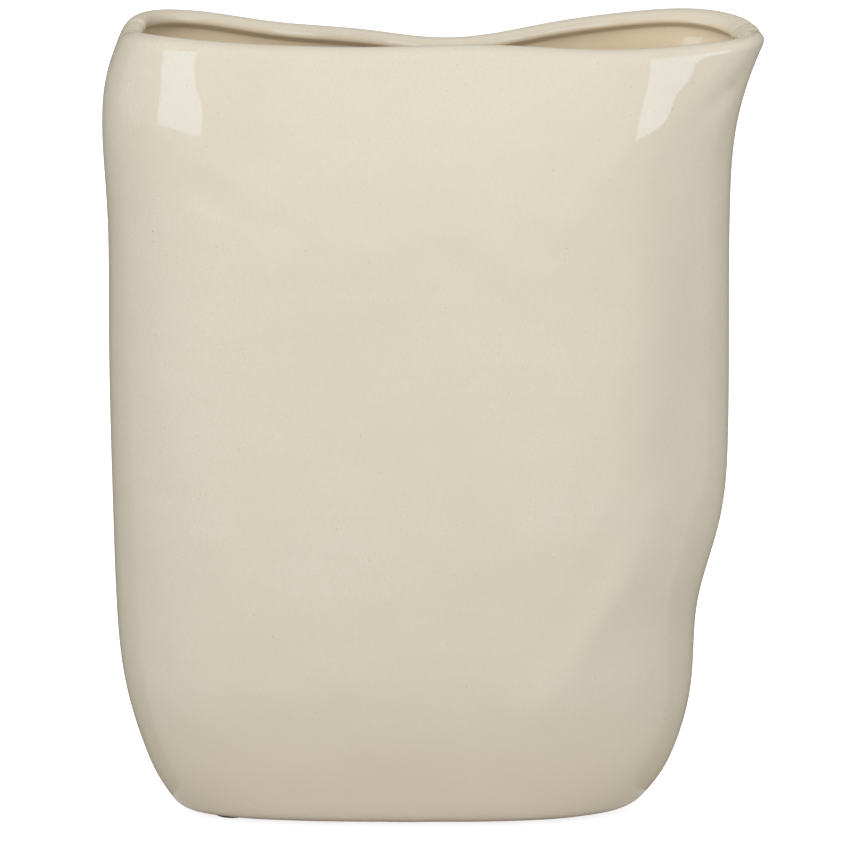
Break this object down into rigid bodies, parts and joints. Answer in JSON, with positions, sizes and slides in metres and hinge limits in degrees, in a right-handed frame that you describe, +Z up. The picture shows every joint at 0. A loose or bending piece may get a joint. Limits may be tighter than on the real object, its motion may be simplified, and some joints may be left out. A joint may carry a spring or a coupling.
{
  "type": "pillow vase",
  "caption": "Free-standing ceramic pillow vase: broad, shallow, hand-formed body with a pinched wavy rim, on stick-on foot pads.",
  "frame": {"origin": "centre of the bounding box at the undersides of the pads, where the vase stands", "axes": "+Z up, X along the broad faces, -Y out of the front face, +Y out of the back face"},
  "size_m": [0.2692, 0.1154, 0.33],
  "materials": {
    "cream_glaze": "glossy cream glaze over pale clay",
    "pad_rubber": "matte charcoal",
    "pad_adhesive": "translucent self-adhesive film"
  },
  "bodies": {
    "root": {"vase_body": "cream_glaze", "foot_pad_front_left": "pad_rubber", "foot_pad_front_right": "pad_rubber", "foot_pad_back_left": "pad_rubber", "foot_pad_back_right": "pad_rubber", "pad_adhesive_front_left": "pad_adhesive", "pad_adhesive_front_right": "pad_adhesive", "pad_adhesive_back_left": "pad_adhesive", "pad_adhesive_back_right": "pad_adhesive"}
  },
  "joints": []
}
